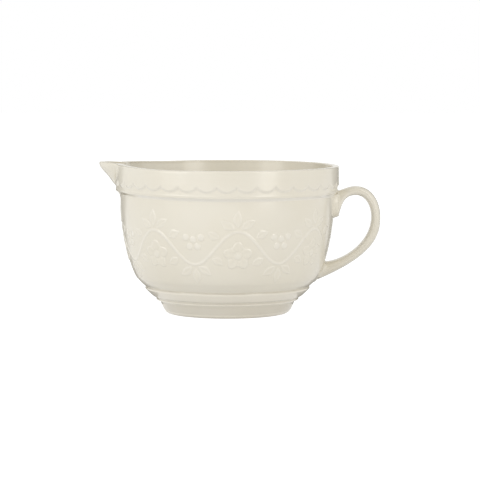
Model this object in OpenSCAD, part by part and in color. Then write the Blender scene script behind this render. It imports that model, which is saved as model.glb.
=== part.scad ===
// Batter bowl: a glazed bowl with a pouring lip on one side and a strap handle on the other.
// Its pieces are those that a potter joins before the firing: the thrown body, the foot ring,
// the bands and the collar, the lip, the handle with its terminal, and the applied sprigs.
// Z is up, the table is at z = 0 and the bowl's own axis is the Z axis.
// The handle points to +X and the pouring lip to -X.

/* [Bowl] */
// Height of the rim above the table
rim_h = 134; // [125:1:150]
// Diameter of the wall under the collar
wall_d = 195; // [184:1:206]
// Thickness of the wall
wall_t = 5.2; // [4:0.1:7]
// Thickness of the floor inside the foot ring
floor_t = 6; // [4.5:0.1:8]
// Diameter of the wall at the haunch, where the flare turns up into the belly
haunch_d = 163.6; // [156:0.2:168]
// Height of the haunch above the table
haunch_h = 32; // [28:0.5:36]
// Slope of the flare where it leaves the foot, from level
flare_angle = 43; // [36:1:50]
// Slope of the wall at the haunch, from level
haunch_angle = 47.3; // [42:0.1:54]

/* [Foot] */
// Diameter of the foot at its top, where the wall starts
foot_top_d = 122.4; // [116:0.2:128]
// Diameter of the outer edge of the resting face
foot_rest_d = 108; // [100:0.5:114]
// Diameter of the hollow inside the foot ring
foot_hollow_d = 94; // [84:0.5:97]
// Height of the foot ring at its outside
foot_h = 10.5; // [9:0.1:13]
// Height of the hollow under the floor
foot_recess = 3.5; // [2:0.1:3.9]

/* [Bands on the flare] */
// Width of the thin bead above the foot, along the wall
waist_bead_w = 2.4; // [1.6:0.1:3]
// Height of the thin bead off the wall
waist_bead_proud = 1; // [0.6:0.1:1.4]
// Width of the groove between the foot and the bead, along the wall
foot_groove_w = 0.9; // [0.6:0.1:1.3]
// Width of the groove between the bead and the waist band, along the wall
waist_groove_w = 1.4; // [0.8:0.1:2]
// Width of the rounded waist band, along the wall
waist_band_w = 13.4; // [11:0.1:15]
// Height of the waist band off the wall
waist_band_proud = 1.1; // [0.7:0.1:1.6]

/* [Collar] */
// Depth of the plain band, from the rim to the points between the scallops
band_h = 15.5; // [13:0.1:18]
// Drop of each scallop below those points
scallop_drop = 4.2; // [3:0.1:5]
// Height of the strip between the scallops and the bead
strip_h = 2.3; // [1.6:0.1:3.2]
// Height of the bead round the collar
bead_h = 2.8; // [2:0.1:3.6]
// Height of the plain edge under the bead
hem_h = 1.5; // [1:0.1:2.4]
// Height of the plain band off the wall
collar_proud = 4.1; // [3.4:0.1:5]
// Height of the strip off the wall
strip_proud = 2.2; // [1.6:0.1:2.6]
// Height of the bead off the strip
bead_proud = 1.2; // [0.8:0.1:1.6]
// Radius of the rim's two rounded edges
rim_round = 2.4; // [1.5:0.1:3]
// Number of scallops in a full turn
scallop_count = 36; // [30:2:44]

/* [Pouring lip] */
// Width of the lip at the rim
lip_w = 38; // [32:0.5:44]
// Width of the lip at its root on the collar
lip_root_w = 8; // [6:0.5:12]
// Reach of the lip's tip beyond the collar
lip_reach = 14.9; // [12:0.1:18]
// Rise of the lip's tip above the rim
lip_rise = 3.7; // [2:0.1:6]
// Thickness of the lip at its tip
lip_t = 5.4; // [4:0.1:7]

/* [Handle] */
// Reach of the handle beyond the collar
handle_reach = 37.6; // [34:0.1:46]
// Drop from the rim to the top of the handle
handle_drop = 18.4; // [17:0.1:24]
// Thickness of the strap
handle_t = 8.3; // [7:0.1:10]
// Width of the strap
handle_w = 17; // [14:0.5:20]
// Height of the strap's root on the upper terminal
handle_root_h = 21.6; // [18:0.1:22]
// Width of the strap's root on the upper terminal
handle_root_w = 20; // [17:0.5:23]
// Height above the table where the strap's lower end starts on the wall
handle_foot_z = 29.3; // [28:0.1:34]
// Height of the strap's lower end on the wall
handle_foot_h = 17.7; // [14:0.1:21]
// Width of the strap's lower end on the wall
handle_foot_w = 23; // [19:0.5:27]
// Width of the upper terminal
terminal_w = 24; // [22:0.5:28]
// Height of the upper terminal
terminal_h = 21.5; // [20:0.1:25]

/* [Sprigs] */
// Number of blossoms round the belly
blossom_count = 7; // [5:1:7]
// Angle on each side of the handle that the vine leaves free
vine_free_angle = 24; // [20:1:32]
// Height of the vine's middle line above the table
vine_z = 66; // [62:1:70]
// Height of the vine's waves, from the middle line to a crest
vine_wave = 15; // [11:0.5:16]
// Width of the vine's stem
stem_w = 3; // [2:0.1:4]
// Height of the stem off the wall
stem_proud = 1.3; // [0.8:0.1:2]
// Diameter of a blossom
blossom_d = 26; // [18:0.5:27]
// Height of a blossom's petals off the wall
blossom_proud = 1.5; // [1:0.1:2.2]
// Distance of the blossoms and berries from the middle line
hollow_drop = 7; // [4:0.5:8]
// Length of a leaf
leaf_l = 18; // [13:0.5:18.5]
// Width of a leaf
leaf_w = 7.4; // [5:0.1:7.8]
// Height of a leaf off the wall
leaf_proud = 1.3; // [0.8:0.1:2]
// Diameter of a berry
berry_d = 6; // [4:0.1:6.5]
// Height of a berry off the wall
berry_proud = 1.7; // [1:0.1:2.4]

/* [Hidden] */
// Two blossoms face one way for each berry cluster between them that faces the other
wave_count = 2 * blossom_count - 1;

// Overrun of every cut past the faces that it goes through
over = 5;
// Joint line left between a sprig, the lip or the handle and the clay that it sits on
slip_gap = 0.1;
glaze = "#E8E1D0";
glaze_shade = "#DDD5C3";

$fn = 180;

// Radii and heights that several pieces share
wall_r = wall_d / 2;
inner_r = wall_r - wall_t;
collar_r = wall_r + collar_proud;
strip_r = wall_r + strip_proud;
collar_h = band_h + scallop_drop + strip_h + bead_h + hem_h;
collar_z = rim_h - collar_h;
points_z = rim_h - band_h;
bead_z = collar_z + hem_h;
foot_top_r = foot_top_d / 2;
foot_hollow_r = foot_hollow_d / 2;
foot_rest_r = foot_rest_d / 2;
floor_z = foot_recess + floor_t;

// Curves

function polar(angle) = [cos(angle), sin(angle)];

function bezier(a, b, c, d, t) =
    a * pow(1 - t, 3) + 3 * b * t * pow(1 - t, 2) + 3 * c * t * t * (1 - t) + d * pow(t, 3);

// Points of a curve, leaving out its first point when it carries on from another one
function bezier_line(a, b, c, d, steps, carry_on = false) =
    [for (i = [carry_on ? 1 : 0:steps]) bezier(a, b, c, d, i / steps)];

// A corner rounded from one direction into the other, as seen from its centre
function round_line(centre, radius, from, to, steps) =
    [for (i = [0:steps]) centre + radius * polar(from + (to - from) * i / steps)];

function mix(a, b, share) = a + (b - a) * share;

// The wall's outer face, as radius and height from the foot up to the collar
flare_start_share = 0.34;
flare_end_share = 0.68;
belly_start_share = 0.08;
belly_end_share = 0.51;
flare_steps = 10;
belly_steps = 18;
foot_point = [foot_top_r, foot_h];
haunch_point = [haunch_d / 2, haunch_h];
collar_point = [wall_r, collar_z];
flare_l = norm(haunch_point - foot_point);
belly_l = collar_z - haunch_h;
wall_line = concat(
    bezier_line(
        foot_point, foot_point + flare_l * flare_start_share * polar(flare_angle),
        haunch_point - flare_l * flare_end_share * polar(haunch_angle), haunch_point, flare_steps),
    bezier_line(
        haunch_point, haunch_point + belly_l * belly_start_share * polar(haunch_angle),
        collar_point - [0, belly_l * belly_end_share], collar_point, belly_steps, true));

// Distance along the wall from the foot to each point of that line
wall_s = [
    for (i = 0, s = 0; i < len(wall_line);
        i = i + 1, s = i < len(wall_line) ? s + norm(wall_line[i] - wall_line[i - 1]) : s) s];

// Slope of the wall at each point, from level
function wall_slope(i) =
    let (last = len(wall_line) - 1)
    let (run = wall_line[min(i + 1, last)] - wall_line[max(i - 1, 0)])
    atan2(run[1], run[0]);

slope_table = [for (i = [0:len(wall_line) - 1]) [wall_s[i], wall_slope(i)]];
radius_table = [for (i = [0:len(wall_line) - 1]) [wall_s[i], wall_line[i][0]]];
height_table = [for (i = [0:len(wall_line) - 1]) [wall_s[i], wall_line[i][1]]];
radius_by_height = [for (p = wall_line) [p[1], p[0]]];
distance_by_height = [for (i = [0:len(wall_line) - 1]) [wall_line[i][1], wall_s[i]]];

// Radius and height of a place on the wall, lifted off it square to its face
function wall_point(s, lift) =
    let (slope = lookup(s, slope_table))
    [lookup(s, radius_table) + lift * sin(slope), lookup(s, height_table) - lift * cos(slope)];

// The same place at an angle round the bowl
function on_wall(angle, s, lift) =
    let (p = wall_point(s, lift))
    [p[0] * cos(angle), p[0] * sin(angle), p[1]];

// Solids from rings of points

// Faces of a solid of rings of n points each, closed at both ends by a middle point.
// The rings turn against the clock as seen from the last one.
function ring_faces(n, rings) =
    let (first_middle = n * rings, last_middle = n * rings + 1, top = n * (rings - 1))
    concat(
        [for (i = [0:n - 1]) [i, (i + 1) % n, first_middle]],
        [for (j = [0:rings - 2], i = [0:n - 1])
            [j * n + i, (j + 1) * n + i, (j + 1) * n + (i + 1) % n]],
        [for (j = [0:rings - 2], i = [0:n - 1])
            [j * n + i, (j + 1) * n + (i + 1) % n, j * n + (i + 1) % n]],
        [for (i = [0:n - 1]) [top + i, last_middle, top + (i + 1) % n]]);

module ring_solid(rings, first_middle, last_middle) {
    n = len(rings[0]);
    points = concat([for (ring = rings) each ring], [first_middle, last_middle]);
    polyhedron(points, ring_faces(n, len(rings)), 10);
}

// A sprig on the wall: one outline, drawn in and lifted step by step.
// Each step holds a share of the outline's size and a share of the full height.
module wall_sprig(angle, s, outline, centre, proud, step_shares, top_share) {
    function place(p, lift) = on_wall(angle + p[0] * degrees_per_mm, s + p[1], slip_gap + lift);
    rings = [for (step = step_shares)
        [for (p = outline) place(mix(centre, p, step[0]), proud * step[1])]];
    ring_solid(rings, place(centre, 0), place(centre, proud * top_share));
}

// A band round the bowl that sits on the wall from one distance along it to another.
// A lower fullness makes it squarer.
band_steps = 8;
module wall_band(from, to, proud, fullness) {
    seat = [for (s = concat([from], [for (s = wall_s) if (s > from && s < to) s], [to]))
        wall_point(s, 0)];
    crown = [for (i = [1:band_steps - 1])
        wall_point(mix(to, from, i / band_steps), proud * pow(sin(180 * i / band_steps), fullness))];
    rotate_extrude() polygon(concat(seat, crown));
}

// Body

// The inside follows the outside at the wall's thickness, then runs out level over the floor
floor_r_share = 0.74;
floor_pull_share = 0.55;
floor_steps = 8;
rim_steps = 5;
module bowl_outline() {
    inside = [for (i = [0:len(wall_line) - 1]) wall_point(wall_s[i], -wall_t)];
    floor_start = [foot_top_r * floor_r_share, floor_z];
    fall = norm(inside[0] - floor_start);
    floor_curve = bezier_line(
        inside[0], inside[0] - fall * floor_pull_share * polar(flare_angle),
        floor_start + [fall * floor_pull_share, 0], floor_start, floor_steps, true);
    rim_curve = round_line([inner_r + rim_round, rim_h - rim_round], rim_round, 90, 180, rim_steps);
    polygon(concat(
        [[0, foot_recess], [foot_hollow_r, foot_recess]],
        wall_line,
        [[wall_r, rim_h]],
        rim_curve,
        [for (i = [len(inside) - 1:-1:0]) inside[i]],
        floor_curve,
        [[0, floor_z]]));
}

module bowl_body() {
    color(glaze) difference() {
        rotate_extrude() bowl_outline();
        lip_notch();
    }
}

// Foot

foot_edge_share = 0.35;
foot_curve_steps = 8;
foot_out_shares = [[0.35, 0.15], [0.6, 0.47]];
module foot_ring() {
    edge = foot_recess * foot_edge_share;
    flare_size = [foot_top_r - foot_rest_r, foot_h];
    rest_edge = [foot_rest_r, 0];
    out_a = [for (k = [0:1]) rest_edge[k] + flare_size[k] * foot_out_shares[0][k]];
    out_b = [for (k = [0:1]) rest_edge[k] + flare_size[k] * foot_out_shares[1][k]];
    color(glaze_shade) rotate_extrude() polygon(concat(
        [[foot_hollow_r, foot_recess]],
        round_line([foot_hollow_r + edge, edge], edge, 180, 270, rim_steps),
        bezier_line(rest_edge, out_a, out_b, foot_point, foot_curve_steps)));
}

// Bands on the flare

waist_bead_fullness = 0.8;
waist_band_fullness = 0.5;
waist_bead_s = foot_groove_w;
waist_band_s = waist_bead_s + waist_bead_w + waist_groove_w;

module waist_bead() {
    color(glaze_shade) wall_band(
        waist_bead_s, waist_bead_s + waist_bead_w, waist_bead_proud, waist_bead_fullness);
}

module waist_band() {
    color(glaze_shade) wall_band(
        waist_band_s, waist_band_s + waist_band_w, waist_band_proud, waist_band_fullness);
}

// Collar

hem_round_share = 0.4;
module rim_collar() {
    hem_round = hem_h * hem_round_share;
    color(glaze) difference() {
        rotate_extrude() polygon(concat(
            [[wall_r, collar_z]],
            round_line([strip_r - hem_round, collar_z + hem_round], hem_round, 270, 360, rim_steps),
            [[strip_r, points_z], [collar_r, points_z]],
            round_line([collar_r - rim_round, rim_h - rim_round], rim_round, 0, 90, rim_steps),
            [[wall_r, rim_h]]));
        lip_notch();
    }
}

// Each scallop is the part of a round disc that hangs below the plain band
scallop_angle = 360 / scallop_count;
scallop_fill_share = 0.97;
module scallop_border() {
    half_w = collar_r * sin(scallop_angle / 2) * scallop_fill_share;
    disc_r = (half_w * half_w + scallop_drop * scallop_drop) / (2 * scallop_drop);
    color(glaze) difference() {
        for (i = [1:scallop_count - 1]) rotate(180 + i * scallop_angle) intersection() {
            rotate([0, 90, 0])
                translate([scallop_drop - disc_r - points_z, 0, 0])
                cylinder(h = collar_r + over, r = disc_r);
            difference() {
                translate([0, 0, points_z - scallop_drop - over])
                    cylinder(h = scallop_drop + over, r = collar_r);
                translate([0, 0, points_z - scallop_drop - 2 * over])
                    cylinder(h = scallop_drop + 3 * over, r = strip_r);
            }
        }
        lip_notch();
    }
}

bead_steps = 8;
module collar_bead() {
    color(glaze) rotate_extrude() polygon([for (i = [0:bead_steps])
        [strip_r + bead_proud * sin(180 * i / bead_steps),
         bead_z + bead_h * (1 - cos(180 * i / bead_steps)) / 2]]);
}

// Pouring lip

// The notch in the collar and the wall widens quickly from its root and then steadily
lip_root_gap_share = 0.15;
lip_z = bead_z + bead_h + strip_h * lip_root_gap_share;
lip_h = rim_h - lip_z;
lip_rows = 9;
lip_columns = 16;
lip_widening = 0.6;
lip_sweep = 1.35;
lip_plan = 1.6;
lip_crown_steps = 3;

function notch_half_w(z) =
    let (rise = min(max((z - lip_z) / lip_h, 0), 1))
    mix(lip_root_w, lip_w, pow(rise, lip_widening)) / 2;

lip_row_z = [for (j = [0:lip_rows]) lip_z + (lip_h - rim_round) * j / lip_rows];
notch_side = concat([for (z = lip_row_z) [notch_half_w(z), z]], [[lip_w / 2, rim_h]]);
notch_table = [for (p = notch_side) [p[1], p[0]]];

module lip_notch() {
    last = len(notch_side) - 1;
    sides = concat(
        notch_side,
        [[lip_w / 2, rim_h + over], [-lip_w / 2, rim_h + over]],
        [for (i = [last:-1:0]) [-notch_side[i][0], notch_side[i][1]]]);
    rotate([90, 0, -90]) linear_extrude(collar_r + over) polygon(sides);
}

// Height and depth below the outer skin of each row, from the root over the crown
crown_rows = [for (k = [1:lip_crown_steps])
    [rim_round * (1 - cos(90 * k / lip_crown_steps)), rim_round * sin(90 * k / lip_crown_steps)]];
lip_levels = concat(
    [for (z = lip_row_z) [z, 0]],
    [for (row = crown_rows) [rim_h - rim_round + row[1], row[0]]]);

// One upright slice of the lip, across its thickness
function lip_slice(across) =
    let (bulge = 1 - pow(abs(across), lip_plan))
    let (sides = [for (level = lip_levels)
        let (z = level[0])
        let (rise = (z - lip_z) / lip_h)
        let (y = across * (lookup(z, notch_table) - slip_gap))
        let (sweep = pow(min(rise * lip_h / (lip_h - rim_round), 1), lip_sweep) * bulge)
        let (outer = sqrt(collar_r * collar_r - y * y) + lip_reach * sweep)
        let (inner = sqrt(inner_r * inner_r - y * y)
            + (lip_reach + collar_proud + wall_t - lip_t) * sweep)
        let (crown = level[1] * (outer - inner) / (collar_proud + wall_t))
        let (height = z + slip_gap * (1 - rise) + lip_rise * bulge * rise * rise)
        [[-outer + crown, y, height], [-inner - crown, y, height]]])
    concat(
        [for (side = sides) side[0]],
        [for (k = [len(sides) - 1:-1:0]) sides[k][1]]);

module pouring_lip() {
    slices = [for (i = [-lip_columns / 2:lip_columns / 2]) lip_slice(2 * i / lip_columns)];
    n = len(slices[0]);
    levels = len(lip_levels);
    last = n * lip_columns;
    sides = [for (j = [0:lip_columns - 1], i = [0:n - 1])
        let (next = (i + 1) % n)
        each [[j * n + i, (j + 1) * n + i, (j + 1) * n + next],
              [j * n + i, (j + 1) * n + next, j * n + next]]];
    ends = [for (i = [0:levels - 2])
        each [[i, i + 1, n - 2 - i], [i, n - 2 - i, n - 1 - i],
              [last + i, last + n - 2 - i, last + i + 1],
              [last + i, last + n - 1 - i, last + n - 2 - i]]];
    color(glaze) polyhedron([for (slice = slices) each slice], concat(sides, ends), 10);
}

// Handle

// The upper terminal is a tongue that fills the step between the wall and the collar's face
terminal_outline_steps = 28;
terminal_taper_share = 0.16;
terminal_square = 0.75;
terminal_step_shares = [[0.55, 0], [1, 0], [1, 0.45], [0.95, 0.78], [0.86, 0.95], [0.74, 1], [0.4, 1]];

function signed_pow(x, power) = sign(x) * pow(abs(x), power);

module handle_terminal() {
    top_s = lookup(collar_z, distance_by_height) - slip_gap;
    middle_s = top_s - terminal_h / 2;
    function place(p, share) =
        let (r = lookup(middle_s + p[1], radius_table))
        let (radius = mix(r + slip_gap, collar_r, share))
        let (angle = p[0] / wall_r * 180 / PI)
        [radius * cos(angle), radius * sin(angle), lookup(middle_s + p[1], height_table)];
    outline = [for (i = [0:terminal_outline_steps - 1])
        let (turn = 360 * i / terminal_outline_steps)
        let (taper = 1 - terminal_taper_share * (1 - sin(turn)))
        [signed_pow(cos(turn), terminal_square) * taper * terminal_w / 2,
         signed_pow(sin(turn), terminal_square) * terminal_h / 2]];
    rings = [for (step = terminal_step_shares)
        [for (p = outline) place(p * step[0], step[1])]];
    color(glaze) ring_solid(rings, place([0, 0], 0), place([0, 0], 1));
}

// The strap is drawn by its outer and its inner edge, seen from the side
crown_x_share = 0.4;
bow_z_share = 0.675;
root_steps = 8;
bow_steps = 10;
fall_steps = 16;
strap_sides = 16;
strap_square = 0.82;
root_slope = 21;
root_hollow_slope = 72;
foot_slope = 26;
root_pull_shares = [0.5, 0.26, 0.34, 0.8];
bow_pull_shares = [0.58, 0.5];
fall_pull_shares = [0.44, 0.75, 0.6, 0.35];

crown_top = rim_h - handle_drop;
crown_x = collar_r + handle_reach * crown_x_share;
bow_x = collar_r + handle_reach;
bow_z = mix(handle_foot_z, crown_top, bow_z_share);
root_top = crown_top - handle_t / 2;
root_low = root_top - handle_root_h;
foot_low = [lookup(handle_foot_z, radius_by_height), handle_foot_z];
foot_high = [lookup(handle_foot_z + handle_foot_h, radius_by_height), handle_foot_z + handle_foot_h];
root_run = crown_x - collar_r;

outer_edge =
    let (start = [collar_r, root_top], crown = [crown_x, crown_top], bow = [bow_x, bow_z])
    concat(
        bezier_line(
            start, start + root_run * root_pull_shares[0] * polar(root_slope),
            crown - [root_run * root_pull_shares[1], 0], crown, root_steps),
        bezier_line(
            crown, crown + [(bow_x - crown_x) * bow_pull_shares[0], 0],
            bow + [0, (crown_top - bow_z) * bow_pull_shares[1]], bow, bow_steps, true),
        bezier_line(
            bow, bow - [0, (bow_z - foot_low[1]) * fall_pull_shares[0]],
            foot_low + (bow_x - foot_low[0]) * fall_pull_shares[1] * polar(foot_slope),
            foot_low, fall_steps, true));

inner_edge =
    let (start = [collar_r, root_low], crown = [crown_x, crown_top - handle_t])
    let (bow = [bow_x - handle_t, bow_z])
    concat(
        bezier_line(
            start, start + (crown[1] - start[1]) * root_pull_shares[2] * polar(root_hollow_slope),
            crown - [root_run * root_pull_shares[3], 0], crown, root_steps),
        bezier_line(
            crown, crown + [(bow[0] - crown_x) * bow_pull_shares[0], 0],
            bow + [0, (crown[1] - bow_z) * bow_pull_shares[1]], bow, bow_steps, true),
        bezier_line(
            bow, bow - [0, (bow_z - foot_high[1]) * fall_pull_shares[2]],
            foot_high + [(bow[0] - foot_high[0]) * fall_pull_shares[3], 0],
            foot_high, fall_steps, true));

// Width of the strap at each pair of edge points, wider at both ends
function strap_width(i) =
    i < root_steps
        ? mix(handle_root_w, handle_w, sin(90 * i / root_steps))
        : mix(handle_w, handle_foot_w,
            pow(max(i - root_steps - bow_steps, 0) / fall_steps, 2));

function strap_ring(i, size_share) =
    let (middle = (outer_edge[i] + inner_edge[i]) / 2)
    let (half = (outer_edge[i] - inner_edge[i]) / 2)
    [for (k = [0:strap_sides - 1])
        let (turn = 360 * k / strap_sides)
        let (p = middle + half * signed_pow(sin(turn), strap_square) * size_share)
        let (y = signed_pow(cos(turn), strap_square) * strap_width(i) / 2 * size_share)
        [p[0], y, p[1]]];

// The strap's ends take the shape of the face that they sit on
function against_terminal(p) =
    [sqrt(pow(collar_r + slip_gap, 2) - p[1] * p[1]), p[1], p[2]];
function against_wall(p) =
    [sqrt(pow(lookup(p[2], radius_by_height) + 2 * slip_gap, 2) - p[1] * p[1]), p[1], p[2]];

end_middle_share = 0.5;
module handle() {
    last = len(outer_edge) - 1;
    root_ring = [for (p = strap_ring(0, 1)) against_terminal(p)];
    root_inner = [for (p = strap_ring(0, end_middle_share)) against_terminal(p)];
    foot_full = [for (p = strap_ring(last, 1)) against_wall(p)];
    foot_inner = [for (p = strap_ring(last, end_middle_share)) against_wall(p)];
    middle = [for (i = [0, last]) (outer_edge[i] + inner_edge[i]) / 2];
    color(glaze) ring_solid(
        concat(
            [root_inner, root_ring],
            [for (i = [1:last - 1]) strap_ring(i, 1)],
            [foot_full, foot_inner]),
        against_terminal([middle[0][0], 0, middle[0][1]]),
        against_wall([middle[1][0], 0, middle[1][1]]));
}

// Sprigs

// The vine runs in half waves from one side of the handle round past the lip to the other
vine_s = lookup(vine_z, distance_by_height);
degrees_per_mm = 180 / (PI * lookup(vine_z, radius_by_height));
wave_angle = (360 - 2 * vine_free_angle) / wave_count;
stem_steps = 12;
stem_round_shares = [[1, 0], [0.7, 0.75], [0, 1], [-0.7, 0.75], [-1, 0]];

// Middle of the stem after a number of half waves, as distance round and along the wall
function stem_point(waves) =
    [waves * wave_angle / degrees_per_mm, vine_s + vine_wave * sin(180 * waves)];
function stem_place(p, lift) =
    on_wall(vine_free_angle + p[0] * degrees_per_mm, p[1], slip_gap + lift);

// The stem thins out over the first and the last quarter of a wave
stem_tip_share = 0.4;
function stem_fullness(waves) =
    mix(stem_tip_share, 1, min(1, 4 * waves, 4 * (wave_count - waves)));

module vine_stem() {
    small = 1 / stem_steps;
    rings = [for (i = [0:wave_count * stem_steps])
        let (waves = i * small, at = stem_point(waves))
        let (run = stem_point(waves + small) - stem_point(waves - small))
        let (side = [-run[1], run[0]] / norm(run))
        let (full = stem_fullness(waves))
        [for (share = stem_round_shares)
            stem_place(at + side * share[0] * full * stem_w / 2, share[1] * full * stem_proud)]];
    ends = [for (waves = [0, wave_count])
        stem_place(stem_point(waves), stem_proud * stem_tip_share / 2)];
    color(glaze) ring_solid(rings, ends[0], ends[1]);
}

// A leaf from its base point in a direction, as distance round and along the wall
leaf_steps = 5;
leaf_fullness_shares = [1.15, 0.3];
leaf_step_shares = [[1, 0], [1, 0.35], [0.6, 0.92]];
module leaf(waves, base, direction, length) {
    function half_w(t) =
        leaf_w / 2 * sin(180 * t) * (leaf_fullness_shares[0] - leaf_fullness_shares[1] * t);
    along = polar(direction);
    aside = [-along[1], along[0]];
    shape = concat(
        [for (i = [0:leaf_steps]) [i / leaf_steps, -1]],
        [for (i = [leaf_steps - 1:-1:1]) [i / leaf_steps, 1]]);
    outline = [for (p = shape) base + along * length * p[0] + aside * half_w(p[0]) * p[1]];
    wall_sprig(
        vine_free_angle + waves * wave_angle, vine_s, outline, base + along * length / 2,
        leaf_proud, leaf_step_shares, 1);
}

// Five leaves stand round the outside of a crest: three at its top and one on each flank.
// Each holds the place along the wave, the direction from upright and a share of the length.
spray_shares = [[0.5, 0, 1.05], [0.5, 56, 1], [0.5, -56, 1], [0.17, 62, 0.8], [0.83, -62, 0.8]];
leaf_start_share = 0.2;
module leaf_spray(i) {
    up = i % 2 == 1 ? 1 : -1;
    middle = (i - 0.5) * wave_angle / degrees_per_mm;
    color(glaze) for (part = spray_shares) {
        at = stem_point(i - 1 + part[0]);
        direction = up * (90 + part[1]);
        start = [at[0] - middle, at[1] - vine_s] + leaf_l * leaf_start_share * polar(direction);
        leaf(i - 0.5, start, direction, leaf_l * part[2] * (1 - leaf_start_share));
    }
}

// A blossom of five petals round a button, in the hollow under a crest
petal_count = 5;
petal_points = 5;
petal_depth_share = 0.27;
blossom_step_shares = [
    [0.5, 0], [1, 0], [1, 0.4], [0.8, 0.95], [0.5, 0.9], [0.32, 0.45], [0.25, 1], [0.13, 1.3]];
blossom_button_share = 1.4;
module blossom(i) {
    waves = 2 * i - 1.5;
    steps = petal_count * petal_points;
    outline = [for (k = [0:steps - 1])
        let (turn = 360 * k / steps)
        blossom_d / 2 * (1 - petal_depth_share * (1 - cos(petal_count * turn)) / 2)
            * polar(turn + 90)];
    color(glaze) wall_sprig(
        vine_free_angle + waves * wave_angle, vine_s - hollow_drop, outline, [0, 0],
        blossom_proud, blossom_step_shares, blossom_button_share);
}

// A bunch of five berries in the hollow above a trough, in diameters from its middle
berry_points = 9;
berry_place_shares = [[0, 0.15], [-1.15, 0.45], [1.15, 0.45], [-0.6, -0.9], [0.6, -0.9]];
berry_step_shares = [[1, 0], [1, 0.45], [0.72, 0.85]];
module berry_cluster(i) {
    waves = 2 * i - 0.5;
    color(glaze) for (place = berry_place_shares) {
        centre = berry_d * place;
        outline = [for (k = [0:berry_points - 1])
            centre + berry_d / 2 * polar(360 * k / berry_points)];
        wall_sprig(
            vine_free_angle + waves * wave_angle, vine_s + hollow_drop, outline, centre,
            berry_proud, berry_step_shares, 1);
    }
}

bowl_body();
foot_ring();
waist_bead();
waist_band();
rim_collar();
scallop_border();
collar_bead();
pouring_lip();
handle();
handle_terminal();
vine_stem();
for (i = [1:wave_count])
    leaf_spray(i);
for (i = [1:blossom_count])
    blossom(i);
for (i = [1:blossom_count - 1])
    berry_cluster(i);
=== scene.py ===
import math

import bmesh
import bpy
import numpy as np
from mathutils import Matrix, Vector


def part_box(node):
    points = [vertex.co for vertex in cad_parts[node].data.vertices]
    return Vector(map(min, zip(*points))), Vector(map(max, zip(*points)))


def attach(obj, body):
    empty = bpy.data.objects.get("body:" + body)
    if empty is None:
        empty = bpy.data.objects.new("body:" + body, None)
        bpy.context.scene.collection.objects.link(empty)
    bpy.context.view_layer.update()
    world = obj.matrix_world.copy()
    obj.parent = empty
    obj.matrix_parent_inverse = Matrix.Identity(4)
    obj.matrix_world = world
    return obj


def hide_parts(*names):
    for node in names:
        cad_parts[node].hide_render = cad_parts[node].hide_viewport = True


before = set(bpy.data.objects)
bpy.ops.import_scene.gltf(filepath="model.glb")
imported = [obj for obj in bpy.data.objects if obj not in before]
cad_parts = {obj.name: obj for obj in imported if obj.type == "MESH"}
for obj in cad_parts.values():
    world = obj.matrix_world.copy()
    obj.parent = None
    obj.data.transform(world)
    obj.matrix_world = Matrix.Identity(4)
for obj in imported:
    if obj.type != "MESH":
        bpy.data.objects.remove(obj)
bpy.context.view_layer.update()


# Bowl body
# The real body is one wall of stoneware, about 5 mm thick, that flares off the foot, turns up at a
# haunch and stands nearly upright at the rim. It was cast in a mould and dipped in a cream glaze,
# inside and out, so every edge is soft and the glaze lies thicker in the hollows.

mm = 0.001
body_low, body_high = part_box("bowl_body")
wall_r, rim_h, under_z = body_high.x, body_high.z, body_low.z
collar_r, collar_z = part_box("rim_collar")[1].x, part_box("rim_collar")[0].z
# The collar's plain face lies just under the face of its scalloped edge
band_r = collar_r - 0.03 * mm
foot_top_r, foot_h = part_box("foot_ring")[1].x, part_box("foot_ring")[1].z
wall_t, floor_t = 5.2 * mm, 6 * mm
inner_r = wall_r - wall_t
floor_z = under_z + floor_t
foot_hollow_r = 47 * mm
haunch_r, haunch_z = 82.3 * mm, 32 * mm
flare_slope, haunch_slope = math.radians(43), math.radians(47.3)


def bezier(a, b, c, d, steps):
    """Points of a curve from a to d, drawn towards b and c."""
    t = np.linspace(0, 1, steps + 1)[:, None]
    a, b, c, d = (np.asarray(p, float) for p in (a, b, c, d))
    return a * (1 - t) ** 3 + 3 * b * t * (1 - t) ** 2 + 3 * c * t * t * (1 - t) + d * t**3


def heading(slope):
    """Unit directions at some slopes."""
    return np.stack([np.cos(slope), np.sin(slope)], -1)


def eased(x):
    """0 below 0, 1 above 1, and a soft step between."""
    x = np.clip(x, 0, 1)
    return x * x * (3 - 2 * x)


def rising(x, start, length):
    """0 up to the start, 1 from a length after it, and a soft step between."""
    return eased((x - start) / length)


def fading(x, start, length):
    """1 up to the start, 0 from a length after it, and a soft step between."""
    return 1 - rising(x, start, length)


foot_point = np.array([foot_top_r, foot_h])
haunch_point = np.array([haunch_r, haunch_z])
collar_point = np.array([wall_r, collar_z])
flare_l = np.linalg.norm(haunch_point - foot_point)
belly_l = collar_z - haunch_z
flare_line = bezier(
    foot_point, foot_point + 0.34 * flare_l * heading(flare_slope),
    haunch_point - 0.68 * flare_l * heading(haunch_slope), haunch_point, 48)
belly_line = bezier(
    haunch_point, haunch_point + 0.09 * belly_l * heading(haunch_slope),
    collar_point - [0, 0.53 * belly_l], collar_point, 60)
wall_line = np.vstack([flare_line, belly_line[1:], [collar_point + [0, 1.2 * mm]]])
wall_s = np.concatenate([[0], np.cumsum(np.linalg.norm(np.diff(wall_line, axis=0), axis=1))])
wall_run = np.gradient(wall_line, axis=0)
wall_slope = np.arctan2(wall_run[:, 1], wall_run[:, 0])


def wall_at(s, lift=0):
    """Radius and height of a place s along the wall from the foot, lifted off its outer face."""
    slope = np.interp(s, wall_s, wall_slope)
    return (np.interp(s, wall_s, wall_line[:, 0]) + lift * np.sin(slope),
            np.interp(s, wall_s, wall_line[:, 1]) - lift * np.cos(slope))


def at_angle(radius, angle, height):
    """Points at an angle round the bowl."""
    return np.stack(np.broadcast_arrays(radius * np.cos(angle), radius * np.sin(angle), height), -1)


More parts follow.
